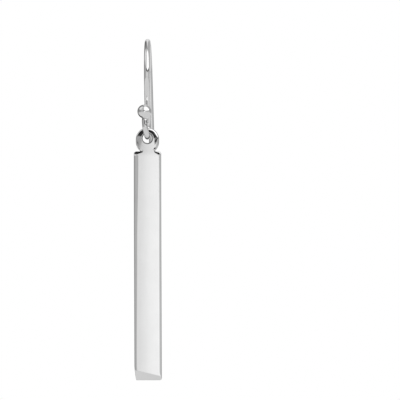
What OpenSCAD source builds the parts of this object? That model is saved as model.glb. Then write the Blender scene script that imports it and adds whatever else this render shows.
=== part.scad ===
// Bar drop earring on a bent ear wire.
// The ear wire is one round wire: an arch that sits in the piercing, a slanted shank, a small
// round loop that carries the drop, a ball that closes the loop, and a back leg whose tip
// flares out. The drop is one flat bar with its eye in the same piece of metal, and the loop
// of the ear wire passes straight through that eye.
//
// Frame: the origin is the middle of the wire at the top of the arch, where it sits in the
// piercing. +Z is up, -Y is the front (the ball and the bar's face) and +Y is behind the ear.

/* [Ear wire] */
// Diameter of the round wire
wire_d = 0.8; // [0.65:0.05:0.9]
// Bend radius of the arch, to the middle of the wire
arch_r = 4.7; // [4.2:0.1:5.3]
// Straight length at the top of the arch, between its two bends
arch_flat = 0.2; // [0.1:0.05:0.8]
// Height from the middle of the arch's bends down to the middle of the loop's bends
loop_drop = 7.4; // [6.9:0.1:8.4]
// Distance of the loop in front of the top of the arch
loop_set = 2.65; // [2.3:0.05:3]
// Bend radius of the loop, to the middle of the wire
loop_r = 1.55; // [1.5:0.05:1.9]
// Straight length at the bottom of the loop, which the eye hangs on
loop_flat = 0.2; // [0.1:0.05:0.4]
// Angle by which the back of the arch stops short of the level, so that the leg runs outwards
leg_flare = 2; // [0:0.5:5]
// Straight length of the back leg
leg_len = 11.2; // [8:0.1:14]
// Bend radius where the tip turns away from the neck, to the middle of the wire
tip_r = 3.15; // [2:0.05:5]
// Angle by which the tip turns away from the back leg
tip_turn = 43; // [20:1:60]
// Straight length of the tip, with its rounded end
tip_len = 0.9; // [0.6:0.05:2]
// Rounding of the filed edge at the end of the tip
tip_round = 0.12; // [0.05:0.01:0.2]
// Sideways lean of the back leg, as bent by hand
leg_lean = 1.5; // [-4:0.5:4]
// How much thinner the wire is in its bends, where it was drawn round a former
bend_thin = 0.01; // [0.005:0.005:0.02]

/* [Ball end] */
// Diameter of the ball
ball_d = 2; // [1.5:0.05:2.2]
// Gap that the ball leaves to the shank
ball_gap = 0.26; // [0.1:0.02:0.4]
// Inward lean of the stem that carries the ball, towards the shank
stem_in = 5; // [0:0.5:8]
// Sideways lean of the ball and the front half of the loop, as bent by hand
ball_lean = 6; // [0:0.5:8]

/* [Bar] */
// Width of the bar
bar_w = 3.9; // [3.6:0.1:5]
// Length of the bar, without its eye
bar_len = 32.6; // [24:0.1:40]
// Thickness of the bar and its eye
bar_t = 0.8; // [0.65:0.05:0.9]
// Rounding of the bar's long edges
edge_r = 0.3; // [0.15:0.05:0.3]
// Length of the bar's upper stretch, which leans back in line with the eye
upper_len = 7; // [3:0.5:10]
// Angle by which the upper stretch and the eye lean back
upper_lean = 3.3; // [1:0.1:5]
// Length of the curved stretch that joins the upper and the lower stretch
curve_len = 5; // [3:0.5:8]
// Angle by which the lower stretch runs back on its way down to the foot
lower_lean = 0.3; // [0:0.1:1]
// Rounding of the bar's two upper corners, seen from the front
top_corner_r = 0.4; // [0.2:0.05:0.8]
// How much thinner the bar is in its curved stretch
curve_thin = 0.01; // [0.005:0.005:0.02]

/* [Foot] */
// Height over which the foot's front face curves back
front_ease_h = 1; // [0.6:0.1:1.4]
// Distance by which the foot's front face curves back over that height
front_ease_in = 0.15; // [0.1:0.01:0.2]
// Slant of the line where the front face starts to curve back, higher on the left
front_ease_slant = 13; // [0:1:15]
// Height over which the foot's back face curves in
back_ease_h = 0.4; // [0.2:0.05:0.8]
// Distance by which the foot's back face curves in
back_ease_in = 0.12; // [0.04:0.02:0.2]
// Height over which the foot's left edge curves in
side_ease_h = 2; // [1.2:0.1:3]
// Distance by which the foot's left edge curves in
side_ease_in = 0.25; // [0.1:0.05:0.5]
// Rounding of the foot's right corner, seen from the front
foot_corner_r = 0.25; // [0.1:0.05:0.6]

/* [Eye] */
// Diameter of the eye's hole
hole_d = 1.4; // [1.4:0.05:1.7]
// Width of the metal round the hole
rim_w = 0.95; // [0.6:0.05:1]
// Extra height of the eye's oval outline, below the hole
oval_h = 0.4; // [0.1:0.05:0.8]
// Distance by which the eye's outline hangs below the middle of its hole
oval_low = 0.15; // [0:0.05:0.2]
// Height of the middle of the hole above the bar's top edge
hole_rise = 1.89; // [1.5:0.01:2]
// Running clearance between the hole's upper edge and the top of the loop's wire
hang_gap = 0.03; // [0.02:0.01:0.06]

/* [Hidden] */
$fn = 64;
wire_fn = 32;
bend_fn = 96;
bow_fn = 1440;
foot_fn = 256;

// A bend reaches into the straight metal on both its sides by this length, inside its surface.
lap = 0.02;

// The shank touches the arch and the loop from opposite sides, so its slant and length come
// from the right triangle between the middles of the two bends.
bend_set = loop_set - (arch_flat + loop_flat) / 2;
bend_gap = norm([bend_set, loop_drop]);
shank_slant = asin((arch_r + loop_r) / bend_gap) - atan(bend_set / loop_drop);
shank_len = sqrt(pow(bend_gap, 2) - pow(arch_r + loop_r, 2));

// The stem is as long as the ball's gap to the shank lets it be.
stem_turn = shank_slant + stem_in;
ball_reach = (ball_d + wire_d) / 2 + ball_gap;
loop_span = loop_r * (1 + cos(stem_turn)) + loop_flat * cos(shank_slant);
stem_len = (loop_span - ball_reach) / sin(stem_turn);

// Each row of a run is a roll about the wire, a bend and then a straight stretch. A positive
// turn closes the arch, and a negative one bends the wire the other way.
ROLL = 0;
BEND_R = 1;
TURN = 2;
STRAIGHT = 3;
front_run = [
    [0, arch_r, 90 + shank_slant, shank_len],
    [0, loop_r, -90 - shank_slant, loop_flat],
    [ball_lean, loop_r, -90 - stem_in, stem_len]
];
back_run = [
    [-leg_lean, arch_r, 90 - leg_flare, leg_len],
    [0, tip_r, -tip_turn, tip_len - tip_round]
];

// The lowest point of the loop, on the middle of the wire, is the axis that the drop swings on.
swing_y = -loop_set;
swing_z = -arch_r - loop_drop - loop_r;

// The wire curves up out of the eye on both sides, and the eye leans back on it, so the hole
// hangs lower than it would on a straight wire.
half_t = bar_t / 2;
loop_inner_r = loop_r - wire_d / 2;
off_flat = max(0, half_t - loop_flat / 2);
wire_rise = loop_inner_r - sqrt(pow(loop_inner_r, 2) - pow(off_flat, 2));
edge_dip = half_t * sin(upper_lean);
hole_sag = (hole_d - wire_d) / 2 - wire_rise - edge_dip - hang_gap;

// The bar's stretches add up to its length, and its curve turns from one lean to the other.
// The foot is a block that reaches past the highest point of its slanted front curve.
curve_turn = upper_lean + lower_lean;
curve_r = curve_len / (curve_turn * PI / 180);
foot_spare = 0.1;
slant_rise = bar_w / 2 * tan(front_ease_slant);
foot_h = max(side_ease_h, front_ease_h + slant_rise + foot_spare);
lower_len = bar_len - upper_len - curve_len - foot_h;
eye_r = hole_d / 2 + rim_w;
eye_rise = hole_rise - oval_low;
eye_top = eye_rise + eye_r;

// A round of wire that starts at the origin along +Z and bends to +Y, with a lap at each end.
module wire_bend(bend_r, turn) {
    lap_turn = lap / bend_r * 180 / PI;
    translate([0, bend_r, 0])
        rotate([90, 0, -90])
            rotate_extrude(angle = turn + 2 * lap_turn, start = -lap_turn, $fn = bend_fn)
                translate([bend_r, 0])
                    circle(d = wire_d - bend_thin, $fn = wire_fn);
}

// Follows the rows of a run from the origin along +Z, and sets its children on the far end.
module wire_run(run, i = 0) {
    if (i < len(run)) {
        turn = abs(run[i][TURN]);
        side = run[i][TURN] < 0 ? 180 : 0;
        bend_r = run[i][BEND_R];
        straight = run[i][STRAIGHT];
        rotate([0, 0, run[i][ROLL] + side]) {
            wire_bend(bend_r, turn);
            translate([0, bend_r * (1 - cos(turn)), bend_r * sin(turn)])
                rotate([-turn, 0, 0]) {
                    cylinder(h = straight, d = wire_d, $fn = wire_fn);
                    translate([0, 0, straight])
                        rotate([0, 0, side])
                            wire_run(run, i + 1)
                                children();
                }
        }
    } else {
        children();
    }
}

// The filed end of the wire: a short round stub whose edge is rounded over.
module wire_end() {
    rotate_extrude($fn = wire_fn) {
        square([wire_d / 2 - tip_round, tip_round]);
        intersection() {
            translate([wire_d / 2 - tip_round, 0])
                circle(r = tip_round);
            square([wire_d / 2, tip_round]);
        }
    }
}

module ear_hook() {
    color("silver") {
        // The top of the arch, which sits in the piercing.
        rotate([90, 0, 0])
            cylinder(h = arch_flat, d = wire_d, center = true, $fn = wire_fn);
        // From there forwards, through the loop and up to the ball.
        rotate([90, 0, 0])
            rotate([0, 0, 180])
                translate([0, 0, arch_flat / 2])
                    wire_run(front_run)
                        sphere(d = ball_d);
        // And backwards, down the leg and out to the tip.
        rotate([-90, 0, 0])
            translate([0, 0, arch_flat / 2])
                wire_run(back_run)
                    wire_end();
    }
}

// A rectangle from low to low + size whose corners named in the list are rounded off. A
// corner is a pair of 0 (low side) or 1 (high side) in x and in y.
module corner_cuts(low, size, r, corners) {
    for (c = corners)
        difference() {
            translate(low + [c.x * (size.x - r), c.y * (size.y - r)])
                square(r);
            translate(low + [c.x ? size.x - r : r, c.y ? size.y - r : r])
                circle(r = r);
        }
}

// The bar's cross-section: its thickness lies along X and its width along Y.
module bar_section(thin = 0) {
    t = bar_t - thin;
    w = bar_w - thin;
    square([t - 2 * edge_r, w], center = true);
    square([t, w - 2 * edge_r], center = true);
    for (sx = [-1, 1], sy = [-1, 1])
        translate([sx * (t / 2 - edge_r), sy * (w / 2 - edge_r)])
            circle(r = edge_r, $fn = wire_fn);
}

// A block of the bar's section that runs from the origin down along -Z by a length.
module bar_stretch(length) {
    translate([0, 0, -length])
        linear_extrude(height = length)
            rotate(90)
                bar_section();
}

// Sets an outline drawn in width and height upright, through the whole thickness of the bar.
module through_bar() {
    rotate([90, 0, 0])
        linear_extrude(height = bar_t, center = true)
            children();
}

// The eye and the upper stretch, seen from the front, with the bar's top edge at height 0.
module upper_outline() {
    for (z = [eye_rise - oval_h, eye_rise])
        translate([0, z])
            circle(r = eye_r);
    translate([-eye_r, eye_rise - oval_h])
        square([2 * eye_r, oval_h]);
    difference() {
        translate([-bar_w / 2, -upper_len])
            square([bar_w, upper_len]);
        corner_cuts([-bar_w / 2, -upper_len], [bar_w, upper_len], top_corner_r, [[0, 1], [1, 1]]);
    }
}

// The flat top of the drop: its eye with the hole bored through, and the upper stretch.
module upper_stretch() {
    difference() {
        intersection() {
            through_bar()
                upper_outline();
            translate([0, 0, eye_top])
                bar_stretch(eye_top + upper_len);
        }
        translate([0, 0, hole_rise])
            rotate([90, 0, 0])
                cylinder(h = 2 * bar_t, d = hole_d, center = true);
    }
}

// The curved stretch starts at the origin in line with the upper one, and its children are
// set on its lower end. The metal laps into the straight stretches at both ends.
module curved_stretch() {
    lap_turn = lap / curve_r * 180 / PI;
    translate([0, curve_r, 0])
        rotate([90, 0, -90])
            mirror([0, 1, 0])
                rotate_extrude(angle = curve_turn + 2 * lap_turn, start = -lap_turn, $fn = bow_fn)
                    translate([curve_r, 0])
                        bar_section(curve_thin);
    translate([0, curve_r * (1 - cos(curve_turn)), -curve_r * sin(curve_turn)])
        rotate([curve_turn, 0, 0])
            children();
}

// The space right of a face at 0 that curves in from a height down to an inset at height 0,
// and on below it. The curve leaves the face at half the slope of the line between its ends.
module eased_face(height, inset, depth) {
    slope = atan(inset / height);
    leave = slope / 2;
    r = norm([height, inset]) / (2 * sin(slope - leave));
    translate([r * cos(leave), height + r * sin(leave)])
        circle(r = r, $fn = foot_fn);
    translate([-depth, height + lap])
        square([3 * depth, 2 * foot_h]);
}

// Sets a profile, drawn from the side, across the bar.
module across_bar() {
    rotate([90, 0, 90])
        linear_extrude(height = 2 * bar_w, center = true)
            children();
}

// The foot from the front: its left edge curves in, and its right corner is rounded off.
module foot_outline() {
    difference() {
        intersection() {
            translate([-bar_w / 2, 0])
                eased_face(side_ease_h, side_ease_in, bar_w);
            translate([-bar_w, 0])
                square([1.5 * bar_w, foot_h]);
        }
        corner_cuts([-bar_w / 2, 0], [bar_w, foot_h], foot_corner_r, [[1, 0]]);
    }
}

// The foot stands on the origin. Both its faces curve in, the front one on a slant.
module foot() {
    intersection() {
        translate([0, 0, foot_h])
            bar_stretch(foot_h);
        rotate([0, front_ease_slant, 0])
            across_bar()
                translate([-half_t, 0])
                    eased_face(front_ease_h, front_ease_in, bar_t);
        across_bar()
            mirror([1, 0])
                translate([-half_t, 0])
                    eased_face(back_ease_h, back_ease_in, bar_t);
        through_bar()
            foot_outline();
    }
}

module bar_drop() {
    color("silver")
        translate([0, swing_y, swing_z - hole_sag])
            rotate([-upper_lean, 0, 0])
                translate([0, 0, -hole_rise]) {
                    upper_stretch();
                    translate([0, 0, -upper_len])
                        curved_stretch() {
                            bar_stretch(lower_len);
                            translate([0, 0, -lower_len - foot_h])
                                foot();
                        }
                }
}

ear_hook();
bar_drop();
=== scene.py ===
# %% [markdown]
# # A silver bar earring
#
# The earring has two pieces of polished silver. A round ear wire goes through the ear: an arch,
# a slanted shank, a small loop and a stem that ends in a ball. A long flat bar hangs from the
# loop by an eye that is pierced in the same sheet of metal.
#
# Both pieces have soft, round edges that mirror their surroundings, so a coarse mesh would show
# at once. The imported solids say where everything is, and this lesson makes a smooth skin for
# each of them: the wire is swept along its centre line, and the bar is cut out flat and bent.

# %% Load the frame
import math

import bpy
import bmesh
from mathutils import Matrix, Vector
from mathutils.geometry import delaunay_2d_cdt


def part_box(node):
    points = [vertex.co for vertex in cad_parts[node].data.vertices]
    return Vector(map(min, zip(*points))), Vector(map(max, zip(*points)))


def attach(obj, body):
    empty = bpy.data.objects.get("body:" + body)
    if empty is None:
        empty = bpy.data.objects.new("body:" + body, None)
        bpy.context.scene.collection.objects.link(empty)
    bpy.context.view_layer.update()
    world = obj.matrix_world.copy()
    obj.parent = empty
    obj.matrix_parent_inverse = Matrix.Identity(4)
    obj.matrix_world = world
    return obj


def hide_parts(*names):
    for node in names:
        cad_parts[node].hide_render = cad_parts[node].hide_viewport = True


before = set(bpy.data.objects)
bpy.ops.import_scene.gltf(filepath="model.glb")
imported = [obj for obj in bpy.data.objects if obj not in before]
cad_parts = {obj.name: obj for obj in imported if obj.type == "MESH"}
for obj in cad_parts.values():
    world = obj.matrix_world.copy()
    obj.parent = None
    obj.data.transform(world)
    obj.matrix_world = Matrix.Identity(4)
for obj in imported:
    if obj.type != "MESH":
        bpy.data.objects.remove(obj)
scene = bpy.context.scene
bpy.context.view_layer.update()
MM = 0.001


def to_scene(name, data):
    """A new object with this data, linked to the scene."""
    made = bpy.data.objects.new(name, data)
    scene.collection.objects.link(made)
    return made


# %% [markdown]
# ## Sizes
#
# These are the sizes of the solids, in millimetres and degrees. Everything in the scene is in
# metres, so each size is turned into metres where it is used.

# %% Sizes of the ear wire
WIRE_D = 0.8
ARCH_R = 4.7
ARCH_FLAT = 0.2
LOOP_DROP = 7.4
LOOP_SET = 2.65
LOOP_R = 1.55
LOOP_FLAT = 0.2
LEG_FLARE = 2.0
LEG_LEN = 11.2
LEG_LEAN = 1.5
TIP_R = 3.15
TIP_TURN = 43.0
TIP_LEN = 0.9
BALL_D = 2.0
BALL_GAP = 0.26
STEM_IN = 5.0
BALL_LEAN = 6.0

# The shank touches the bends of the arch and the loop from opposite sides.
bend_set = LOOP_SET - (ARCH_FLAT + LOOP_FLAT) / 2
bend_gap = math.hypot(bend_set, LOOP_DROP)
slant = math.asin((ARCH_R + LOOP_R) / bend_gap) - math.atan(bend_set / LOOP_DROP)
SHANK_SLANT = math.degrees(slant)
SHANK_LEN = math.sqrt(bend_gap**2 - (ARCH_R + LOOP_R) ** 2)

# The stem is as long as the ball's gap to the shank lets it be.
stem_turn = slant + math.radians(STEM_IN)
loop_span = LOOP_R * (1 + math.cos(stem_turn)) + LOOP_FLAT * math.cos(slant)
STEM_LEN = (loop_span - (BALL_D + WIRE_D) / 2 - BALL_GAP) / math.sin(stem_turn)
print(f"shank slants {SHANK_SLANT:.2f} degrees and is {SHANK_LEN:.2f} mm long, stem {STEM_LEN:.2f} mm")

# %% Sizes of the bar
BAR_W = 3.9
BAR_LEN = 32.6
BAR_T = 0.8
UPPER_LEN = 7.0
UPPER_LEAN = 3.3
CURVE_LEN = 5.0
LOWER_LEAN = 0.3
TOP_CORNER_R = 0.4
FOOT_CORNER_R = 0.25
SIDE_EASE_H = 2.0
SIDE_EASE_IN = 0.25
FRONT_EASE_H = 1.0
FRONT_EASE_IN = 0.15
FRONT_EASE_SLANT = 13.0
BACK_EASE_H = 0.4
BACK_EASE_IN = 0.12
HOLE_D = 1.4
RIM_W = 0.95
HOLE_RISE = 1.89
OVAL_H = 0.4
OVAL_LOW = 0.15
HANG_GAP = 0.03

# The wire curves up out of the hole on both sides, and the eye leans back on it, so the hole
# hangs a little higher than it would on a straight wire.
HALF_T = BAR_T / 2
EYE_R = HOLE_D / 2 + RIM_W
EYE_RISE = HOLE_RISE - OVAL_LOW
loop_inner_r = LOOP_R - WIRE_D / 2
wire_rise = loop_inner_r - math.sqrt(loop_inner_r**2 - (HALF_T - LOOP_FLAT / 2) ** 2)
edge_dip = HALF_T * math.sin(math.radians(UPPER_LEAN))
HOLE_SAG = (HOLE_D - WIRE_D) / 2 - wire_rise - edge_dip - HANG_GAP
HOLE_PLACE = Vector((0, -LOOP_SET, -ARCH_R - LOOP_DROP - LOOP_R - HOLE_SAG))
print(f"the middle of the hole hangs {HOLE_SAG:.3f} mm below the middle of the wire")

# %% [markdown]
# ## Camera
#
# The picture was taken with a long lens from some way off, with the camera level. The earring is
# turned by a little under two degrees, so that one looks at it slightly from its right, and the
# picture is rolled by a fifth of a degree. The lens takes in 57 mm at the distance of the bar.

# %% Set up the camera
VIEW_TURN = math.radians(1.07)
VIEW_ROLL = math.radians(0.2)
VIEW_DISTANCE = 600.0
VIEW_RIGHT = 7.41
VIEW_DOWN = 22.69
PIXELS_PER_MM = 6.98
PICTURE_WIDTH = 400
NEAREST_SEEN = 0.01

camera = to_scene("camera", bpy.data.cameras.new("camera"))
to_right = Vector((math.cos(VIEW_TURN), math.sin(VIEW_TURN), 0))
to_camera = Vector((math.sin(VIEW_TURN), -math.cos(VIEW_TURN), 0))
view_place = to_right * VIEW_RIGHT + to_camera * VIEW_DISTANCE - Vector((0, 0, VIEW_DOWN))
camera.location = view_place * MM
camera.rotation_euler = (math.radians(90), VIEW_ROLL, VIEW_TURN)
camera.data.lens = camera.data.sensor_width * VIEW_DISTANCE * PIXELS_PER_MM / PICTURE_WIDTH
camera.data.clip_start = NEAREST_SEEN
scene.camera = camera
scene.view_settings.view_transform = "Standard"
print("camera at", tuple(round(v, 4) for v in camera.location), f"lens {camera.data.lens:.1f} mm")

# %% [markdown]
# ## Studio
#
# Polished silver has hardly any colour of its own: it shows the room. Here that is a light tent
# of pale grey cloth. A bright softbox stands to the right and above, and a dimmer panel at the
# left lights the ball. The gap under the softbox and the dark place in front, where a camera
# would stand, draw the black patches on the eye and on the shoulders. Below the horizon lies a
# pale table, with a dark room behind it at the left.
#
# Lamps and boards could be built as objects, but they would stand in the way of a camera on the
# other side. So the world's nodes make the tent from nothing but the direction of a ray: its
# turn about the upright, where 0 is the front and a positive turn is to the right, and its rise
# above the horizon. Rays that go straight to the camera see plain white.

# %% Helpers for node trees
def link(tree, source, target):
    tree.links.new(source, target)


def math_node(tree, operation, *values):
    """A Math node whose inputs are sockets or plain numbers; returns its output."""
    node = tree.nodes.new("ShaderNodeMath")
    node.operation = operation
    for socket, value in zip(node.inputs, values):
        if isinstance(value, bpy.types.NodeSocket):
            link(tree, value, socket)
        else:
            socket.default_value = value
    return node.outputs[0]


def range_node(tree, value, low, high, new_low, new_high, smooth=False):
    """A Map Range node: what lies from low to high comes out from new_low to new_high."""
    node = tree.nodes.new("ShaderNodeMapRange")
    if smooth:
        node.interpolation_type = "SMOOTHSTEP"
    link(tree, value, node.inputs["Value"])
    ends = {"From Min": low, "From Max": high, "To Min": new_low, "To Max": new_high}
    for name, number in ends.items():
        node.inputs[name].default_value = number
    return node.outputs["Result"]


def split_xyz(tree, vector):
    split = tree.nodes.new("ShaderNodeSeparateXYZ")
    link(tree, vector, split.inputs[0])
    return split.outputs


def join_xyz(tree, *values):
    joined = tree.nodes.new("ShaderNodeCombineXYZ")
    for socket, value in zip(joined.inputs, values):
        link(tree, value, socket)
    return joined.outputs[0]


def grey_ramp(tree, factor, stops):
    """A colour ramp of greys: stops are pairs of position and brightness."""
    ramp = tree.nodes.new("ShaderNodeValToRGB")
    ramp.color_ramp.interpolation = "EASE"
    elements = ramp.color_ramp.elements
    while len(elements) < len(stops):
        elements.new(1.0)
    for element, (position, grey) in zip(elements, stops):
        element.position = position
        element.color = (grey, grey, grey, 1)
    link(tree, factor, ramp.inputs[0])
    return ramp.outputs[0]


print("a ramp takes pairs of position and brightness")

# %% [markdown]
# The cloth's brightness is one table by turn times another by rise. Each thing in the tent is a
# window in both: its two tables say how far it covers each turn and each rise, from 0 to 1, and
# it has one brightness.

# %% What stands in the tent, by turn and rise in degrees
TENT_SIDES = [
    (-180, 0.70), (-168, 0.60), (-158, 0.12), (-125, 0.20), (-100, 0.30), (-78, 0.30), (-62, 0.36),
    (-40, 0.46), (-20, 0.42), (-9, 0.42), (-5, 0.72), (0, 0.88), (8, 0.98), (17, 0.66),
    (35, 0.50), (75, 0.48), (110, 0.34), (158, 0.36), (168, 0.60), (180, 0.70),
]
TENT_HEIGHTS = [
    (-90, 0.85), (-30, 0.72), (-12, 0.84), (-5, 1.03), (7, 1.0), (14, 0.9), (24, 1.15), (60, 1.15),
    (68, 1.35), (76, 1.1), (90, 0.95),
]


def tent_area(sides, heights, grey):
    return {"sides": sides, "heights": heights, "grey": grey}


ALL_ROUND = [(-180, 1), (180, 1)]
SOFTBOX = tent_area([(8, 0), (18, 1), (80, 1), (95, 0)], [(12, 0), (15, 1), (66, 1), (78, 0)], 1.4)
SIDE_PANEL = tent_area([(-114, 0), (-104, 1), (-62, 1), (-50, 0)], [(18, 0), (28, 1), (62, 1), (75, 0)], 0.75)
DARK_GAP = tent_area([(4, 0), (7, 1), (88, 1), (100, 0)], [(6.8, 0), (7.5, 1), (10.4, 1), (11.6, 0)], 0.02)
DARK_FRONT = tent_area([(-24, 0), (-20, 1), (8, 1), (12, 0)], [(9.2, 0), (9.9, 1), (17, 1), (20, 0)], 0.02)
TABLE = tent_area(ALL_ROUND, [(-90, 1), (-12, 1), (-7, 0)], 0.63)
DARK_BACK = tent_area([(-180, 1), (-128, 1), (-112, 0)], [(-66, 0), (-58, 1), (-14, 1), (-8, 0)], 0.08)
# Each one covers those before it.
TENT_AREAS = [SOFTBOX, SIDE_PANEL, DARK_GAP, DARK_FRONT, TABLE, DARK_BACK]
print("things in the tent:", len(TENT_AREAS))

# %% The tent's brightness
HALF_ROUND = 180
UPRIGHT = 90


def ramp_by_angle(tree, share, pairs, span):
    """A grey ramp over angles from -span to span, which the share gives as 0 to 1."""
    return grey_ramp(tree, share, [((angle + span) / (2 * span), grey) for angle, grey in pairs])


def tent_brightness(tree):
    """How bright the tent is where a ray goes."""
    ray = split_xyz(tree, tree.nodes.new("ShaderNodeTexCoord").outputs["Generated"])
    forwards = math_node(tree, "MULTIPLY", ray["Y"], -1.0)
    turn = math_node(tree, "ARCTAN2", ray["X"], forwards)
    rise = math_node(tree, "ARCSINE", ray["Z"])
    turn_share = math_node(tree, "MULTIPLY_ADD", turn, 0.5 / math.pi, 0.5)
    rise_share = math_node(tree, "MULTIPLY_ADD", rise, 1 / math.pi, 0.5)
    sides = ramp_by_angle(tree, turn_share, TENT_SIDES, HALF_ROUND)
    heights = ramp_by_angle(tree, rise_share, TENT_HEIGHTS, UPRIGHT)
    tent = math_node(tree, "MULTIPLY", sides, heights)
    for area in TENT_AREAS:
        across = ramp_by_angle(tree, turn_share, area["sides"], HALF_ROUND)
        up = ramp_by_angle(tree, rise_share, area["heights"], UPRIGHT)
        share = math_node(tree, "MULTIPLY", across, up)
        missing = math_node(tree, "SUBTRACT", area["grey"], tent)
        tent = math_node(tree, "MULTIPLY_ADD", share, missing, tent)
    return tent


print("ramps in the tent:", 2 + 2 * len(TENT_AREAS))

# %% The world
def build_world():
    world = bpy.data.worlds.new("light_tent")
    world.use_nodes = True
    tree = world.node_tree
    tree.nodes.clear()
    room = tree.nodes.new("ShaderNodeBackground")
    link(tree, tent_brightness(tree), room.inputs["Color"])
    plain = tree.nodes.new("ShaderNodeBackground")
    plain.inputs["Color"].default_value = (1, 1, 1, 1)
    seen = tree.nodes.new("ShaderNodeLightPath").outputs["Is Camera Ray"]
    choice = tree.nodes.new("ShaderNodeMixShader")
    for source, target in zip((seen, room.outputs[0], plain.outputs[0]), choice.inputs):
        link(tree, source, target)
    output = tree.nodes.new("ShaderNodeOutputWorld")
    link(tree, choice.outputs[0], output.inputs["Surface"])
    return world


scene.world = build_world()
print("tent nodes:", len(scene.world.node_tree.nodes))

# %% [markdown]
# The floor is a pale disc far below the earring, out of the picture and out of the way of a
# camera that looks up from below. The silver doesn't mirror the disc, whose rim would draw a
# line across the bar: what it mirrors there is the tent's own table.

# %% The floor
FLOOR_Z = -0.8
FLOOR_R = 2.4
FLOOR_SIDES = 96
FLOOR_WHITE = 0.95
FLOOR_ROUGHNESS = 0.8


def build_floor():
    mesh = bpy.data.meshes.new("floor")
    shape = bmesh.new()
    bmesh.ops.create_circle(shape, cap_ends=True, segments=FLOOR_SIDES, radius=FLOOR_R)
    bmesh.ops.translate(shape, verts=shape.verts, vec=(0, 0, FLOOR_Z))
    shape.to_mesh(mesh)
    shape.free()
    floor = to_scene("floor", mesh)
    pale = bpy.data.materials.new("floor_white")
    pale.use_nodes = True
    surface = pale.node_tree.nodes["Principled BSDF"]
    surface.inputs["Base Color"].default_value = (FLOOR_WHITE, FLOOR_WHITE, FLOOR_WHITE, 1)
    surface.inputs["Roughness"].default_value = FLOOR_ROUGHNESS
    mesh.materials.append(pale)
    floor.visible_glossy = False
    return floor


print(f"floor at {build_floor().bound_box[0][2]:.2f} m")

# %% [markdown]
# ## Polished silver
#
# Silver is a very bright neutral metal. A real earring isn't a perfect mirror: drawing and
# polishing leave hairlines that run along the metal, handling leaves a soft haze, and the
# surface is slightly wavy. An image could carry these marks, but noise has no seams and stays
# sharp at any distance. For the hairlines and the waves it is stretched along the piece.
#
# The silver is painted darker in a few places: shade in the bar's crevices and on its eye, and
# the groove under the ball. Where that is depends on the shape, so each mesh marks it with an
# attribute named shade, and one material serves both the open metal and the crevices.

# %% How strong the marks are
SHADE_DARKENING = 0.85
TONE_SPREAD = 0.015
LINE_ROUGHNESS = 0.04
CLOUD_ROUGHNESS = 0.03
CLOUD_SCALE = 420.0
# The parts of the noise that show as tone and as roughness.
TONE_PART = (0.35, 0.65)
ROUGH_PART = (0.3, 0.7)
WAVE_DEPTH = 0.0000025
LINE_DEPTH = 0.0000001
print(f"waves {WAVE_DEPTH / MM:.4f} mm deep, hairlines {LINE_DEPTH / MM:.4f} mm")

# %% The marks as noise
def noise_node(tree, coordinates, scale, detail, rough):
    node = tree.nodes.new("ShaderNodeTexNoise")
    node.inputs["Scale"].default_value = scale
    node.inputs["Detail"].default_value = detail
    node.inputs["Roughness"].default_value = rough
    link(tree, coordinates, node.inputs["Vector"])
    return node.outputs["Fac"]


def stretched_noise(tree, place, stretch, detail):
    mapping = tree.nodes.new("ShaderNodeMapping")
    mapping.inputs["Scale"].default_value = stretch
    link(tree, place, mapping.inputs["Vector"])
    return noise_node(tree, mapping.outputs[0], scale=1.0, detail=detail, rough=0.6)


def attribute(tree, name):
    node = tree.nodes.new("ShaderNodeAttribute")
    node.attribute_name = name
    return node.outputs


def relief(tree, layers):
    """Bump on bump: layers are pairs of a height and its depth in metres."""
    surface = None
    for height, depth in layers:
        bump = tree.nodes.new("ShaderNodeBump")
        bump.inputs["Distance"].default_value = depth
        link(tree, height, bump.inputs["Height"])
        if surface is not None:
            link(tree, surface, bump.inputs["Normal"])
        surface = bump.outputs[0]
    return surface


print(f"one cloud measures about {1 / (CLOUD_SCALE * MM):.1f} mm")

# %% The silver
def build_silver(name, tone, places, line_stretch, wave_stretch, haze):
    """Polished silver: tone is its brightness, places gives the coordinates its marks lie on."""
    silver = bpy.data.materials.new(name)
    silver.use_nodes = True
    tree = silver.node_tree
    metal = tree.nodes["Principled BSDF"]
    metal.inputs["Metallic"].default_value = 1.0
    place = places(tree)
    lines = stretched_noise(tree, place, line_stretch, detail=4.0)
    waves = stretched_noise(tree, place, wave_stretch, detail=1.0)
    cloud = noise_node(tree, place, CLOUD_SCALE, detail=3.0, rough=0.5)
    # Colour: a slight cloudiness, painted shade where the shade attribute marks the bar, and a darker groove
    # on the wire.
    bright = range_node(tree, cloud, *TONE_PART, tone - TONE_SPREAD, tone + TONE_SPREAD)
    kept = math_node(tree, "MULTIPLY_ADD", attribute(tree, "shade")["Fac"], -SHADE_DARKENING, 1.0)
    link(tree, math_node(tree, "MULTIPLY", bright, kept), metal.inputs["Base Color"])
    # Roughness: hairlines over a soft haze.
    line_rough = range_node(tree, lines, *ROUGH_PART, 0.0, LINE_ROUGHNESS)
    cloud_rough = range_node(tree, cloud, *ROUGH_PART, haze, haze + CLOUD_ROUGHNESS)
    link(tree, math_node(tree, "ADD", line_rough, cloud_rough), metal.inputs["Roughness"])
    # Relief: the slow waves of a hand-polished surface, with the hairlines on top.
    surface = relief(tree, [(waves, WAVE_DEPTH), (lines, LINE_DEPTH)])
    link(tree, surface, metal.inputs["Normal"])
    return silver


print(f"in a crevice the silver keeps {1 - SHADE_DARKENING:.2f} of its brightness")

# %% [markdown]
# The bar hardly bends, so its marks lie on plain object coordinates. The wire bends all the way,
# and marks in upright coordinates would cut across it. Its own coordinates are two attributes
# that the sweep leaves on it: the place on its round section, and how far along it one is.

# %% Where the marks lie
def bar_places(tree):
    return tree.nodes.new("ShaderNodeTexCoord").outputs["Object"]


def wire_places(tree):
    section = split_xyz(tree, attribute(tree, "wire_section")["Vector"])
    return join_xyz(tree, section["X"], section["Y"], attribute(tree, "wire_run")["Fac"])


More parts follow.
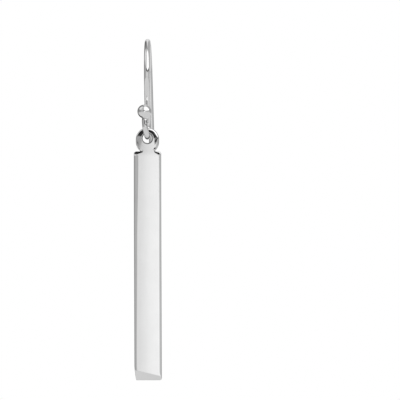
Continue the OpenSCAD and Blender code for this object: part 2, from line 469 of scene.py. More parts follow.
wire_silver = build_silver(
    "wire_silver", tone=0.95, places=wire_places, line_stretch=(16000.0, 16000.0, 700.0),
    wave_stretch=(1500.0, 1500.0, 120.0), haze=0.03,
)
bar_silver = build_silver(
    "bar_silver", tone=0.96, places=bar_places, line_stretch=(14000.0, 14000.0, 350.0),
    wave_stretch=(700.0, 700.0, 130.0), haze=0.02,
)
print("silver:", wire_silver.name, bar_silver.name)

# %% [markdown]
# ## The ear wire
#
# On the bench the wire is one straight length of drawn silver. A ball is melted on one end, the
# other end is filed round, and the wire is bent over pegs: the arch, the loop, and the small
# flare at the tip. The solid follows the same list of bends, so the centre line here is found in
# the same way: each row is a roll about the wire, a bend radius, a turn and a straight stretch.

# %% Walk along the bends
FRONT_RUN = [
    (0.0, ARCH_R, 90 + SHANK_SLANT, SHANK_LEN),
    (0.0, LOOP_R, -90 - SHANK_SLANT, LOOP_FLAT),
    (BALL_LEAN, LOOP_R, -90 - STEM_IN, STEM_LEN),
]
BACK_RUN = [
    (-LEG_LEAN, ARCH_R, 90 - LEG_FLARE, LEG_LEN),
    (0.0, TIP_R, -TIP_TURN, TIP_LEN),
]
STEP = 0.1
FEWEST_STEPS = 6


def turn_x(degrees):
    return Matrix.Rotation(math.radians(degrees), 4, "X")


def turn_z(degrees):
    return Matrix.Rotation(math.radians(degrees), 4, "Z")


def on_bend(bend_r, angle):
    """A place on a bend that starts at the origin along +Z and turns to +Y."""
    return Vector((0, bend_r * (1 - math.cos(angle)), bend_r * math.sin(angle)))


def walk(run, start):
    """Points on the middle of the wire, where each row starts, and the frame it ends in."""
    here, points, rows = start.copy(), [start.translation.copy()], []
    for roll, bend_r, turn, straight in run:
        rows.append(len(points))
        side = 180 if turn < 0 else 0
        reach = math.radians(abs(turn))
        here = here @ turn_z(roll + side)
        steps = max(FEWEST_STEPS, round(reach * bend_r / STEP))
        points += [here @ on_bend(bend_r, reach * i / steps) for i in range(1, steps + 1)]
        here = here @ Matrix.Translation(on_bend(bend_r, reach)) @ turn_x(-abs(turn))
        steps = max(1, round(straight / STEP))
        points += [here @ Vector((0, 0, straight * i / steps)) for i in range(1, steps + 1)]
        here = here @ Matrix.Translation(Vector((0, 0, straight))) @ turn_z(side)
    return points, rows, here


from_middle = Matrix.Translation(Vector((0, 0, ARCH_FLAT / 2)))
front_points, front_rows, ball_frame = walk(FRONT_RUN, turn_x(90) @ turn_z(180) @ from_middle)
back_points, _, tip_frame = walk(BACK_RUN, turn_x(-90) @ from_middle)
print(f"{len(front_points)} points to the ball, {len(back_points)} to the tip")

# %% [markdown]
# The stem isn't quite straight. Bent by hand, it bows a little to one side and comes back to the
# middle under the ball.

# %% Bow the stem
STEM_BOW = 0.13
BOW_PAST_END = 4

stem_points = front_points[front_rows[-1]:]
for i, point in enumerate(stem_points):
    point.x -= STEM_BOW * math.sin(math.pi * (i + 1) / (len(stem_points) + BOW_PAST_END)) ** 2
print(f"the stem bows over {len(stem_points)} points, by {STEM_BOW} mm")

# %% [markdown]
# The ball is the wire's own end, so the sweep swells into it: there is no seam to hide. Its
# round pole needs rings that lie closer and closer together, so the centre line gets extra
# points there, spaced as the cosine of the angle round the ball. The filed tip gets the same.

# %% The whole centre line, from the ball's pole to the tip
BALL_STEPS = 30
STEPS_LEFT_TO_WIRE = 4
TIP_ROUND = 0.16
TIP_STEPS = 12


def off(point, end_frame):
    return (point - end_frame.translation).length


def centre_line():
    ball_r = BALL_D / 2
    pole = []
    for i in range(BALL_STEPS + 1):
        along = ball_r * math.cos(math.pi * i / (BALL_STEPS + STEPS_LEFT_TO_WIRE))
        pole.append(ball_frame @ Vector((0, 0, along)))
    clear_of_pole = off(pole[-1], ball_frame) + STEP / 2
    body = [p for p in reversed(front_points) if off(p, ball_frame) > clear_of_pole]
    leg = [p for p in back_points if off(p, tip_frame) > TIP_ROUND + STEP / 2]
    tip = []
    for i in range(TIP_STEPS + 1):
        before = TIP_ROUND * (1 - math.sin(0.5 * math.pi * i / TIP_STEPS))
        tip.append(tip_frame @ Vector((0, 0, -before)))
    return pole + body + leg + tip


line_points = centre_line()
line_length = sum((b - a).length for a, b in zip(line_points, line_points[1:]))
print(f"centre line: {len(line_points)} points, {line_length:.2f} mm")

# %% [markdown]
# A Geometry Nodes tree turns the centre line into the wire. It measures how far each point is
# from the ball's pole and from the tip, and works out the radius there. A sweep with a constant
# radius and a separate sphere would leave a hard seam where they meet.

# %% Helpers for geometry trees
def tree_input(tree, name, kind, value=None):
    socket = tree.interface.new_socket(name=name, in_out="INPUT", socket_type=kind)
    if value is not None:
        socket.default_value = value


def new_geometry_tree(name, sizes):
    """A tree with geometry in and out, and a named input for each size."""
    tree = bpy.data.node_groups.new(name, "GeometryNodeTree")
    tree.interface.new_socket(name="Geometry", in_out="OUTPUT", socket_type="NodeSocketGeometry")
    tree_input(tree, "Geometry", "NodeSocketGeometry")
    for size_name, value in sizes.items():
        tree_input(tree, size_name, "NodeSocketFloat", value)
    tree_input(tree, "Silver", "NodeSocketMaterial")
    return tree


def finish_geometry_tree(tree, geometry, material):
    """Smooth shading, real geometry and its material, and out."""
    smooth = tree.nodes.new("GeometryNodeSetShadeSmooth")
    link(tree, geometry, smooth.inputs["Geometry"])
    real = tree.nodes.new("GeometryNodeRealizeInstances")
    link(tree, smooth.outputs["Geometry"], real.inputs["Geometry"])
    paint = tree.nodes.new("GeometryNodeSetMaterial")
    link(tree, real.outputs["Geometry"], paint.inputs["Geometry"])
    link(tree, material, paint.inputs["Material"])
    output = tree.nodes.new("NodeGroupOutput")
    link(tree, paint.outputs["Geometry"], output.inputs["Geometry"])


def store(tree, geometry, kind, name, value):
    """Keeps a value on the points as a named attribute; returns the geometry."""
    node = tree.nodes.new("GeometryNodeStoreNamedAttribute")
    node.data_type = kind
    node.domain = "POINT"
    node.inputs["Name"].default_value = name
    link(tree, geometry, node.inputs["Geometry"])
    link(tree, value, [s for s in node.inputs if s.name == "Value" and s.enabled][0])
    return node.outputs["Geometry"]


print("each tree ends in Realize Instances and Set Material")

# %% [markdown]
# In the ball the radius is the height of a circle over the distance from its pole. The wire
# starts inside the ball and has its full radius before it leaves it. A smooth maximum of the two
# gives the small fillet where they fuse, on the wire's side only, so that the ball stays round.

# %% The ball and its neck
WIRE_STARTS = 0.9
WIRE_FULL = 1.5


def ball_and_wire(tree, given, along):
    ball = given["Ball Radius"]
    off_middle = math_node(tree, "SUBTRACT", along, ball)
    ball_square = math_node(tree, "MULTIPLY", ball, ball)
    left = math_node(tree, "SUBTRACT", ball_square, math_node(tree, "MULTIPLY", off_middle, off_middle))
    ball_r = math_node(tree, "SQRT", math_node(tree, "MAXIMUM", left, 0.0))
    past_pole = math_node(tree, "DIVIDE", along, ball)
    grown = range_node(tree, past_pole, WIRE_STARTS, WIRE_FULL, 0.0, 1.0, smooth=True)
    wire_r = math_node(tree, "MULTIPLY", given["Wire Radius"], grown)
    plain = math_node(tree, "MAXIMUM", ball_r, wire_r)
    fused = math_node(tree, "SMOOTH_MAX", ball_r, wire_r, given["Neck Fillet"])
    wire_side = math_node(tree, "GREATER_THAN", past_pole, 1.0)
    added = math_node(tree, "SUBTRACT", fused, plain)
    return math_node(tree, "MULTIPLY_ADD", wire_side, added, plain)


ball_end = (BALL_D + math.sqrt(BALL_D**2 - WIRE_D**2)) / 2
print(f"the wire leaves the ball {ball_end:.2f} mm from its pole")

# %% [markdown]
# Where the ball was soldered or melted on, a shallow ring runs round the wire, just below the
# fillet. Its depth also marks the shade, which makes the silver darker in the groove.

# %% The groove under the ball
GROOVE_BELOW = 0.3
GROOVE_REACH = 3.0


def neck_groove(tree, given, along):
    """1 in the middle of the groove and 0 on both its sides."""
    below = math_node(tree, "MULTIPLY", given["Wire Radius"], GROOVE_BELOW)
    middle = math_node(tree, "MULTIPLY_ADD", given["Ball Radius"], 2.0, below)
    aside = math_node(tree, "ABSOLUTE", math_node(tree, "SUBTRACT", along, middle))
    share = math_node(tree, "DIVIDE", aside, given["Neck Groove"])
    return range_node(tree, share, 0.0, GROOVE_REACH, 1.0, 0.0, smooth=True)


print(f"the groove lies {BALL_D + GROOVE_BELOW * WIRE_D / 2:.2f} mm from the pole")

# %% [markdown]
# The tip is filed round. Its outline is a superellipse: fuller than a half circle, as a file
# leaves it, and closed at its very end.

# %% The filed tip
def tip_closing(tree, given, along):
    """The share of the radius that the tip still has: 1 on the wire and 0 at its end."""
    total = tree.nodes.new("GeometryNodeSplineLength").outputs["Length"]
    to_tip = math_node(tree, "SUBTRACT", total, along)
    near = math_node(tree, "MINIMUM", math_node(tree, "DIVIDE", to_tip, given["Tip Round"]), 1.0)
    short = math_node(tree, "SUBTRACT", 1.0, math_node(tree, "MAXIMUM", near, 0.0))
    power = math_node(tree, "POWER", short, given["Tip Fullness"])
    full = math_node(tree, "MAXIMUM", math_node(tree, "SUBTRACT", 1.0, power), 0.0)
    return math_node(tree, "POWER", full, math_node(tree, "DIVIDE", 1.0, given["Tip Fullness"]))


print(f"the last {TIP_ROUND} mm of the wire are filed round")

# %% The sweep tree
WIRE_SIDES = 48
MERGE_GAP = 1e-7
wire_sizes = {
    "Wire Radius": WIRE_D / 2 * MM,
    "Ball Radius": BALL_D / 2 * MM,
    "Neck Fillet": 0.12 * MM,
    "Neck Groove": 0.03 * MM,
    "Tip Round": TIP_ROUND * MM,
    "Tip Fullness": 2.6,
}


def build_sweep_tree():
    tree = new_geometry_tree("wire_sweep", wire_sizes)
    tree_input(tree, "Sides", "NodeSocketInt", WIRE_SIDES)
    given = tree.nodes.new("NodeGroupInput").outputs
    along = tree.nodes.new("GeometryNodeSplineParameter").outputs["Length"]
    groove = neck_groove(tree, given, along)
    cut = math_node(tree, "MULTIPLY", groove, given["Neck Groove"])
    body = math_node(tree, "SUBTRACT", ball_and_wire(tree, given, along), cut)
    radius = math_node(tree, "MULTIPLY", body, tip_closing(tree, given, along))
    # What the silver's marks need: the place along the wire and on its section, and the shade.
    run = store(tree, given["Geometry"], "FLOAT", "wire_run", along)
    run = store(tree, run, "FLOAT", "shade", groove)
    ring = tree.nodes.new("GeometryNodeCurvePrimitiveCircle")
    ring.inputs["Radius"].default_value = 1.0
    link(tree, given["Sides"], ring.inputs["Resolution"])
    section = tree.nodes.new("ShaderNodeVectorMath")
    section.operation = "SCALE"
    link(tree, tree.nodes.new("GeometryNodeInputPosition").outputs[0], section.inputs[0])
    link(tree, given["Wire Radius"], section.inputs["Scale"])
    profile = store(tree, ring.outputs["Curve"], "FLOAT_VECTOR", "wire_section", section.outputs[0])
    sweep = tree.nodes.new("GeometryNodeCurveToMesh")
    link(tree, run, sweep.inputs["Curve"])
    link(tree, profile, sweep.inputs["Profile Curve"])
    link(tree, radius, sweep.inputs["Scale"])
    closed = tree.nodes.new("GeometryNodeMergeByDistance")
    closed.inputs["Distance"].default_value = MERGE_GAP
    link(tree, sweep.outputs["Mesh"], closed.inputs["Geometry"])
    finish_geometry_tree(tree, closed.outputs["Geometry"], given["Silver"])
    return tree


sweep_tree = build_sweep_tree()
print("wire_sweep:", len(sweep_tree.nodes), "nodes")

# %% Sweep the wire
def set_inputs(modifier, tree, values):
    """Sets a modifier's inputs by the identifiers of the tree's sockets."""
    sockets = {s.name: s.identifier for s in tree.interface.items_tree if s.in_out == "INPUT"}
    for name, value in values.items():
        modifier[sockets[name]] = value


def made_plain(source, tree, values, name):
    """The result of a tree on an object, as a plain mesh object with no modifier."""
    modifier = source.modifiers.new(tree.name, "NODES")
    modifier.node_group = tree
    set_inputs(modifier, tree, values)
    graph = bpy.context.evaluated_depsgraph_get()
    mesh = bpy.data.meshes.new_from_object(source.evaluated_get(graph), depsgraph=graph)
    mesh.name = name
    piece = to_scene(name, mesh)
    bpy.data.objects.remove(source)
    return piece


def line_object(name, points):
    curve = bpy.data.curves.new(name, "CURVE")
    curve.dimensions = "3D"
    spline = curve.splines.new("POLY")
    spline.points.add(len(points) - 1)
    for point, place in zip(spline.points, points):
        point.co = (*(place * MM), 1.0)
    return to_scene(name, curve)


wire_values = {**wire_sizes, "Sides": WIRE_SIDES, "Silver": wire_silver}
ear_wire = made_plain(line_object("wire_line", line_points), sweep_tree, wire_values, "ear_wire_silver")
print("ear wire:", len(ear_wire.data.vertices), "vertices,", len(ear_wire.data.polygons), "faces")

# %% [markdown]
# ## The bar
#
# The drop is sawn from one sheet: a long bar whose top narrows to a pierced eye. So it is drawn
# flat first, as an outline with one hole, in its width and its height, with the bar's top edge
# at height 0. A box with a ring joined to it by a boolean would have no place for the soft edge
# that runs round both without a break.

# %% Arcs and eased ends
def arc(middle, r, start, end, steps):
    """Points on an arc, from one angle to the other, both ends included."""
    angles = [math.radians(start + (end - start) * i / steps) for i in range(steps + 1)]
    return [(middle[0] + r * math.cos(a), middle[1] + r * math.sin(a)) for a in angles]


def eased_in(h, height, inset):
    """How far a face that curves in has come in, at a height above its end."""
    if h >= height:
        return 0.0
    slope = math.atan(inset / height)
    leave = slope / 2
    r = math.hypot(height, inset) / (2 * math.sin(slope - leave))
    return r * math.cos(leave) - math.sqrt(r**2 - (h - height - r * math.sin(leave)) ** 2)


print(f"the foot's front has come in {eased_in(0, FRONT_EASE_H, FRONT_EASE_IN):.2f} mm at its end")

# %% The upper part of the outline
CROTCH_R = 0.04
half_w = BAR_W / 2
low_eye = EYE_RISE - OVAL_H
crotch_x = math.sqrt((EYE_R + CROTCH_R) ** 2 - (low_eye - CROTCH_R) ** 2)
crotch_turn = math.degrees(math.atan2(low_eye - CROTCH_R, crotch_x))


def right_half():
    """From the top of the eye to below the shoulder, on the side where x is positive."""
    points = arc((0, EYE_RISE), EYE_R, 90, 0, steps=36)
    points += arc((0, low_eye), EYE_R, 0, -crotch_turn, steps=24)
    points += arc((crotch_x, CROTCH_R), CROTCH_R, 180 - crotch_turn, 270, steps=8)
    points += arc((half_w - TOP_CORNER_R, -TOP_CORNER_R), TOP_CORNER_R, 90, 0, steps=12)
    return points


print(f"the notch is rounded at {crotch_x:.2f} mm from the middle")

# %% The outline, all the way round
OUTLINE_STEP = 0.2
SIDE_EASE_STEPS = 16
SAME_POINT = 1e-5
STEP_SLACK = 0.01


def spread(points, step):
    """The same line with extra points wherever two of them lie more than a step apart."""
    made = []
    for (ax, ay), (bx, by) in zip(points, points[1:]):
        parts = max(1, math.ceil(math.hypot(bx - ax, by - ay) / step - STEP_SLACK))
        made += [(ax + (bx - ax) * i / parts, ay + (by - ay) * i / parts) for i in range(parts)]
    return made + [points[-1]]


def outline():
    foot_z = -BAR_LEN
    right = right_half() + [(half_w, foot_z + FOOT_CORNER_R)]
    corner = (half_w - FOOT_CORNER_R, foot_z + FOOT_CORNER_R)
    right += arc(corner, FOOT_CORNER_R, 0, -90, steps=8)[1:]
    left = [(-x, z) for x, z in right_half()]
    for i in range(SIDE_EASE_STEPS + 1):
        h = SIDE_EASE_H * (1 - i / SIDE_EASE_STEPS)
        left.append((-half_w + eased_in(h, SIDE_EASE_H, SIDE_EASE_IN), foot_z + h))
    loop = spread(right + list(reversed(left))[:-1], OUTLINE_STEP)
    kept = [loop[0]]
    for point in loop[1:]:
        if math.dist(point, kept[-1]) > SAME_POINT:
            kept.append(point)
    return kept[:-1] if math.dist(kept[0], kept[-1]) < SAME_POINT else kept


bar_outline = outline()
print("outline:", len(bar_outline), "points, lowest at", round(min(z for x, z in bar_outline), 2), "mm")

# %% [markdown]
# Its edges are filed round by hand, and how round they are changes along the outline: softest on
# the left side, where the round widens upwards, crisp on the shoulders beside the eye, and soft
# again round the eye. A Bevel modifier gives one width, so the width is a function of the place.

# %% How far the filed edge comes in
FOOT_ROUND = 0.12
LEFT_ROUND = [(-29, 0.3), (-14, 0.42), (-1.2, 0.62)]
RIGHT_ROUND = [(-14, 0.37), (-4, 0.3)]
SHOULDER_ROUND = [(1.1, 0.04), (1.6, 0.16)]
EYE_ROUND = [(-0.5, 0.17), (0.5, 0.26)]
# Where one goes over into the next, by height.
FOOT_BLEND = (-BAR_LEN + 0.25, -BAR_LEN + 1.2)
SHOULDER_BLEND = (-0.6, -0.28)
EYE_BLEND = (0.08, 0.6)
ON_FOOT = 1e-4
# A wide edge is this deep, and deeper by this share of its width.
WIDE_EDGE_DEPTH = 0.18
WIDE_EDGE_GAIN = 0.25


def blend(value, points):
    """A smooth step between the pairs of a place and a value."""
    for (a, at_a), (b, at_b) in zip(points, points[1:]):
        if value <= b:
            t = min(1, max(0, (value - a) / (b - a)))
            return at_a + (at_b - at_a) * t * t * (3 - 2 * t)
    return points[-1][1]


def edge_round(x, z):
    """How far the filed edge comes in at a place on the outline."""
    if z < -BAR_LEN + ON_FOOT:
        return FOOT_ROUND
    side = blend(z, LEFT_ROUND if x < 0 else RIGHT_ROUND)
    shoulder, eye = blend(x, SHOULDER_ROUND), blend(x, EYE_ROUND)
    return blend(z, [(FOOT_BLEND[0], FOOT_ROUND), (FOOT_BLEND[1], side), (SHOULDER_BLEND[0], side),
                     (SHOULDER_BLEND[1], shoulder), (EYE_BLEND[0], shoulder), (EYE_BLEND[1], eye)])


def edge_depth(r):
    """How deep that edge goes: a wide one is filed flatter than a quarter of a circle."""
    return min(r, WIDE_EDGE_DEPTH + WIDE_EDGE_GAIN * r)


print("edge rounding at mid height:", [round(edge_round(x, -16), 2) for x in (-half_w, half_w)])

# %% [markdown]
# The face isn't quite flat, and that draws its reflections. Polishing has crowned the bar from
# side to side and domed the eye: its face falls away round the upper half of the hole, and more
# steeply near the right rim. A file ran over both shoulders and left a narrow slanting facet
# below their edge, and the foot's faces curve in. None of this is deeper than a sixth of a
# millimetre: paint would hide it, but a mirror shows it. A sculpted face could carry it too,
# but as a function each depth can be set on its own.

# %% Dome and brink of the eye
CROWN = 0.035
DOME_START = 0.86
DOME_SLOPE = math.tan(math.radians(4.4))
DOME_SIDE = [(-1.0, 0.0), (0.0, 1.0)]
BRINK_START = 1.34
BRINK_END = 1.8
BRINK_CURVE = 0.5
BRINK_SIDE = [(-0.5, 0), (0.5, 1)]
NECK_BLEND = [(0, 0), (0.5, 1)]


def dome_drop(x, z):
    """How far the eye's face falls away from the flat."""
    r = math.hypot(x, z - HOLE_RISE)
    if z <= 0 or r <= DOME_START:
        return 0.0
    over_brink = max(0.0, min(r, BRINK_END) - BRINK_START)
    drop = DOME_SLOPE * (r - DOME_START) + BRINK_CURVE * blend(x, BRINK_SIDE) * over_brink**2
    return drop * blend((z - HOLE_RISE) / r, DOME_SIDE) * blend(z, NECK_BLEND)


print(f"at its top the eye's face has dropped {dome_drop(0, EYE_RISE + EYE_R):.3f} mm")

# %% Facets of the shoulders
SHOULDER_TILT = math.radians(2.3)
SHOULDER_H = 0.16
# Each facet widens outwards from where it starts.
RIGHT_FACET = {"starts": 1.0, "widens": 0.6, "ends": [(0.9, 0), (1.06, 1)]}
LEFT_FACET = {"starts": 0.72, "widens": 0.35, "ends": [(0.6, 0), (0.72, 1)]}
FACET_TOP = [(0.0, 1), (0.3, 0)]


def shoulder_drop(x, z):
    """How far the facet below a shoulder's edge lies under the flat."""
    facet, out = (RIGHT_FACET if x > 0 else LEFT_FACET), abs(x)
    above = SHOULDER_H + facet["widens"] * max(0.0, out - facet["starts"]) + z
    return math.tan(SHOULDER_TILT) * max(0.0, above) * blend(out, facet["ends"]) * blend(z, FACET_TOP)


def face_depth(x, z, front):
    """The face's distance from the middle of the sheet, on the front or on the back."""
    drop = CROWN * (x / half_w) ** 2 + dome_drop(x, z) + shoulder_drop(x, z)
    h = z + BAR_LEN
    if front:
        slope = math.radians(FRONT_EASE_SLANT)
        drop += eased_in(h * math.cos(slope) + x * math.sin(slope), FRONT_EASE_H, FRONT_EASE_IN)
    else:
        drop += eased_in(h, BACK_EASE_H, BACK_EASE_IN)
    return HALF_T - drop


print(f"half the sheet at the right shoulder's edge: {face_depth(1.5, 0, True):.3f} mm")

# %% [markdown]
# A filed edge is a row of rings: each ring lies further in than the one before, and nearer to
# the face, as on a quarter of a circle. A last narrow strip lies in the face itself. Without it
# the uneven triangles of the face would meet the round edge, and their shading would ripple.

# %% Rings round the edge
RING_STEPS = 8
HOLE_EDGE = 0.12
HOLE_SIDES = 96
STRIP_W = [(-BAR_LEN + 0.1, 0.01), (-BAR_LEN + 0.5, 0.07)]
SHARPEST = 0.5


def inward(points):
    """Each corner's direction into the metal, longer where the corner is sharp."""
    made = []
    for i, (x, z) in enumerate(points):
        ax, az = points[i - 1]
        bx, bz = points[(i + 1) % len(points)]
        u = Vector((x - ax, z - az)).normalized()
        v = Vector((bx - x, bz - z)).normalized()
        normal = Vector((u.y + v.y, -u.x - v.x)).normalized()
        made.append(normal / max(SHARPEST, normal.dot(Vector((u.y, -u.x)))))
    return made


def rings_of(points, ins, radius_at):
    """Rings from the wall to the face: lists of (x, z, how far it still is to the face)."""
    rings = [[] for _ in range(RING_STEPS + 2)]
    for (x, z), n in zip(points, ins):
        r = radius_at(x, z)
        for k in range(RING_STEPS + 1):
            a = 0.5 * math.pi * k / RING_STEPS
            come_in = r * (1 - math.cos(a))
            rings[k].append((x + n.x * come_in, z + n.y * come_in, edge_depth(r) * (1 - math.sin(a))))
        come_in = r + blend(z, STRIP_W)
        rings[-1].append((x + n.x * come_in, z + n.y * come_in, 0.0))
    return rings


hole = arc((0, HOLE_RISE), HOLE_D / 2, 0, 360, HOLE_SIDES)[:-1]
out_of_hole = [Vector((x, z - HOLE_RISE)).normalized() for x, z in hole]
outer_rings = rings_of(bar_outline, inward(bar_outline), edge_round)
hole_rings = rings_of(hole, out_of_hole, lambda x, z: HOLE_EDGE)
print("rings:", len(outer_rings), "of", len(bar_outline), "points, and as many of", len(hole))

# %% [markdown]
# The face is filled with a fine, even net of points. A flat face would need none, but this one
# is domed and crowned, and the bar is bent later. The net is joined into triangles whose circles
# hold no other point, which keeps them even. Those outside the outline or inside the hole are
# left out.

# %% The net of the face
# Each zone of the net: its top, its bottom, and the step between its points.
NET_ZONES = [
    (EYE_RISE + EYE_R, -0.9, 0.085),
    (-0.9, -BAR_LEN + 1.8, 0.24),
    (-BAR_LEN + 1.8, -BAR_LEN, 0.12),
]
NET_SHIFT = 0.25
NET_CLEAR = 0.06
CDT_WITH_ALL = 0
CDT_GAP = 1e-6


def too_near(points, gap):
    """A test for whether a place lies within a gap of any of the points."""
    cells = {(round(x / gap), round(z / gap)) for x, z in points}
    around = [(i, j) for i in (-1, 0, 1) for j in (-1, 0, 1)]
    return lambda x, z: any((round(x / gap) + i, round(z / gap) + j) in cells for i, j in around)


def face_net():
    """The places of the net and its triangles, with the two innermost rings as fixed edges."""
    points, edges = [], []
    for ring in (outer_rings[-1], hole_rings[-1]):
        start, count = len(points), len(ring)
        points += [Vector((x, z)) for x, z, _ in ring]
        edges += [(start + i, start + (i + 1) % count) for i in range(count)]
    near = too_near([tuple(p) for p in points], NET_CLEAR)
    for top, bottom, step in NET_ZONES:
        for j in range(int((top - bottom) / step)):
            z = top - (j + 0.5) * step
            for i in range(-int(half_w / step), int(half_w / step) + 1):
                x = (i + NET_SHIFT * (j % 2)) * step
                if not near(x, z):
                    points.append(Vector((x, z)))
    places, _, faces, _, _, _ = delaunay_2d_cdt(points, edges, [], CDT_WITH_ALL, CDT_GAP)
    return places, faces


net_places, net_faces = face_net()
print("net:", len(net_places), "places,", len(net_faces), "triangles")

# %% The triangles on the metal
def inside(x, z, ring):
    """Whether a place lies inside a ring: a line from it crosses it an odd number of times."""
    hit = False
    for (ax, az, _), (bx, bz, _) in zip(ring, ring[1:] + ring[:1]):
        if (az > z) != (bz > z) and x < (bx - ax) * (z - az) / (bz - az) + ax:
            hit = not hit
    return hit


def on_metal(face):
    x, z = sum((net_places[i] for i in face), Vector((0, 0))) / len(face)
    return inside(x, z, outer_rings[-1]) and not inside(x, z, hole_rings[-1])


metal_faces = [face for face in net_faces if on_metal(face)]
print("on the metal:", len(metal_faces), "triangles")

# %% [markdown]
# Shade is painted on the wall of the hole and in the two notches beside the eye, and the eye as
# a whole is painted a little darker than the bar.

# %% Painted shade on the bar
# Painted shade: full in the notches and on the hole's wall, fading out towards the face.
NOTCH_SHADE = 0.8
NOTCH_REACH = 0.12
WALL_FADE = 0.5
EYE_SHADE = 0.15
EYE_SHADE_BLEND = [(-0.9, 0), (0.1, 1)]


# Painted shade on the eye and its neck, fading out below the shoulders.
def eye_shade(z):
    return EYE_SHADE * blend(z, EYE_SHADE_BLEND)


def ring_shade(x, z, k, in_hole):
    """The painted shade on a ring: the hole's wall, k rings out to the face, the notches and the eye."""
    wall = 1 - WALL_FADE * (k / RING_STEPS) ** 4 if in_hole and k <= RING_STEPS else 0.0
    notch = NOTCH_SHADE if math.hypot(abs(x) - crotch_x, z) < NOTCH_REACH else 0.0
    return max(wall, notch, eye_shade(z))


print("shade in the hole:", ring_shade(0, HOLE_RISE, 0, True), "on the eye:", eye_shade(HOLE_RISE))

# %% Parts of the skin
def ring_corners(shape, shade, rings, in_hole, sign):
    """The rings on one side of the sheet as corners of the mesh."""
    made = []
    for k, ring in enumerate(rings):
        made.append([])
        for x, z, low in ring:
            corner = shape.verts.new((x, sign * (face_depth(x, z, sign < 0) - low), z))
            corner[shade] = ring_shade(x, z, k, in_hole)
            made[-1].append(corner)
    return made


def join_rings(shape, a, b):
    """A band of faces from one ring to the next."""
    for i in range(len(a)):
        j = (i + 1) % len(a)
        shape.faces.new((a[i], a[j], b[j], b[i]))


def fill_face(shape, shade, sign, fixed):
    """The net's triangles on one side; its first places are the corners of the two rings."""
    corners = dict(enumerate(fixed))
    for face in metal_faces:
        for i in face:
            if i not in corners:
                x, z = net_places[i]
                corners[i] = shape.verts.new((x, sign * face_depth(x, z, sign < 0), z))
                # The eye's painted shade also lies on the net of the face.
                corners[i][shade] = eye_shade(z)
        shape.faces.new([corners[i] for i in face])


print("rings on each side of the sheet:", len(outer_rings) + len(hole_rings))

# %% [markdown]
# Front and back are made alike, and the walls of the outline and of the hole join them. Their
# triangles turn in opposite senses, so the normals are recalculated at the end to make all
# faces point outwards.

# %% Join the blank
def join_blank():
    shape = bmesh.new()
    shade = shape.verts.layers.float.new("shade")
    walls = []
    for sign in (-1, 1):
        outer = ring_corners(shape, shade, outer_rings, False, sign)
        inner = ring_corners(shape, shade, hole_rings, True, sign)
        for rings in (outer, inner):
            for a, b in zip(rings, rings[1:]):
                join_rings(shape, a, b)
        fill_face(shape, shade, sign, outer[-1] + inner[-1])
        walls.append((outer[0], inner[0]))
    for front, back in zip(*walls):
        join_rings(shape, front, back)
    bmesh.ops.recalc_face_normals(shape, faces=shape.faces)
    open_edges = sum(1 for e in shape.edges if len(e.link_faces) != 2)
    mesh = bpy.data.meshes.new("bar_blank")
    shape.to_mesh(mesh)
    shape.free()
    mesh.transform(Matrix.Scale(MM, 4))
    return to_scene("bar_blank", mesh), open_edges


bar_blank, open_edges = join_blank()
print("blank:", len(bar_blank.data.vertices), "vertices, open edges:", open_edges)

# %% [markdown]
# The finished bar isn't flat: its upper part leans back a little, as if it had been drawn over
# the edge of the bench. A Geometry Nodes tree bends the blank along a line of three stretches,
# straight, curved and straight, and then hangs it by the middle of its hole. A Simple Deform
# modifier could bend it too, but it would curve the whole bar.

# %% Bend along three stretches
def bend_back(tree, given, place):
    """Where a place on the flat blank goes: its distance behind the sheet, and its height."""
    upper, curve = given["Upper Length"], given["Curve Length"]
    bend_r = math_node(tree, "DIVIDE", curve, given["Curve Turn"])
    down = math_node(tree, "MULTIPLY", place["Z"], -1.0)
    head = math_node(tree, "MINIMUM", down, upper)
    past = math_node(tree, "SUBTRACT", down, upper)
    in_curve = math_node(tree, "MINIMUM", math_node(tree, "MAXIMUM", past, 0.0), curve)
    rest = math_node(tree, "MAXIMUM", math_node(tree, "SUBTRACT", past, curve), 0.0)
    angle = math_node(tree, "DIVIDE", in_curve, bend_r)
    sine = math_node(tree, "SINE", angle)
    cosine = math_node(tree, "COSINE", angle)
    # Straight, round the arc, and straight on in the new direction.
    arc_y = math_node(tree, "MULTIPLY", bend_r, math_node(tree, "SUBTRACT", 1.0, cosine))
    mid_y = math_node(tree, "MULTIPLY_ADD", rest, sine, arc_y)
    arc_z = math_node(tree, "MULTIPLY_ADD", bend_r, sine, head)
    mid_z = math_node(tree, "MULTIPLY_ADD", rest, cosine, arc_z)
    # The distance from the middle of the sheet turns with the bend.
    new_y = math_node(tree, "MULTIPLY_ADD", place["Y"], cosine, mid_y)
    off_z = math_node(tree, "MULTIPLY", place["Y"], sine)
    return new_y, math_node(tree, "SUBTRACT", off_z, mid_z)


print(f"the curve has a radius of {CURVE_LEN / math.radians(UPPER_LEAN + LOWER_LEAN):.1f} mm")

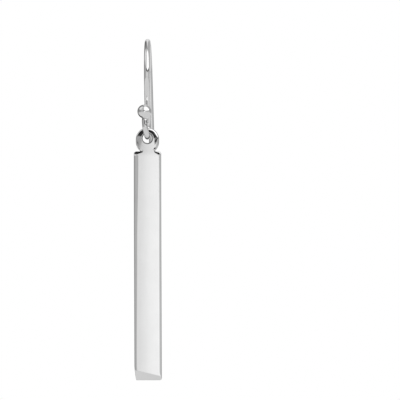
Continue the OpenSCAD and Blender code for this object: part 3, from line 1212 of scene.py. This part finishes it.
# %% The bending tree
bar_sizes = {
    "Upper Length": UPPER_LEN * MM,
    "Curve Length": CURVE_LEN * MM,
    "Curve Turn": math.radians(UPPER_LEAN + LOWER_LEAN),
    "Upper Lean": math.radians(UPPER_LEAN),
    "Hole Rise": HOLE_RISE * MM,
}


def build_bend_tree():
    tree = new_geometry_tree("bar_bend", bar_sizes)
    tree_input(tree, "Hole Place", "NodeSocketVector")
    given = tree.nodes.new("NodeGroupInput").outputs
    place = split_xyz(tree, tree.nodes.new("GeometryNodeInputPosition").outputs[0])
    new_y, new_z = bend_back(tree, given, place)
    above_hole = math_node(tree, "SUBTRACT", new_z, given["Hole Rise"])
    bent = tree.nodes.new("GeometryNodeSetPosition")
    link(tree, given["Geometry"], bent.inputs["Geometry"])
    link(tree, join_xyz(tree, place["X"], new_y, above_hole), bent.inputs["Position"])
    hung = tree.nodes.new("GeometryNodeTransform")
    link(tree, bent.outputs["Geometry"], hung.inputs["Geometry"])
    lean = math_node(tree, "MULTIPLY", given["Upper Lean"], -1.0)
    link(tree, join_xyz(tree, lean), hung.inputs["Rotation"])
    link(tree, given["Hole Place"], hung.inputs["Translation"])
    finish_geometry_tree(tree, hung.outputs["Geometry"], given["Silver"])
    return tree


bend_tree = build_bend_tree()
print("bar_bend:", len(bend_tree.nodes), "nodes")

# %% Bend and hang the bar
bar_values = {**bar_sizes, "Hole Place": HOLE_PLACE * MM, "Silver": bar_silver}
bar = made_plain(bar_blank, bend_tree, bar_values, "bar_drop_silver")
print("bar:", len(bar.data.vertices), "vertices,", len(bar.data.polygons), "faces")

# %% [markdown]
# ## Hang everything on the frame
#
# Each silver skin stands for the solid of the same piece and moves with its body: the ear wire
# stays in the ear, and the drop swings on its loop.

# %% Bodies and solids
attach(ear_wire, "ear_wire")
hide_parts("ear_hook")
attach(bar, "drop")
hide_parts("bar_drop")

for piece, node in ((ear_wire, "ear_hook"), (bar, "bar_drop")):
    low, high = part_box(node)
    over = max(max(c[i] - high[i], low[i] - c[i]) for c in piece.bound_box for i in range(3))
    print(piece.name, f"reaches {over / MM:.3f} mm past its solid's box")
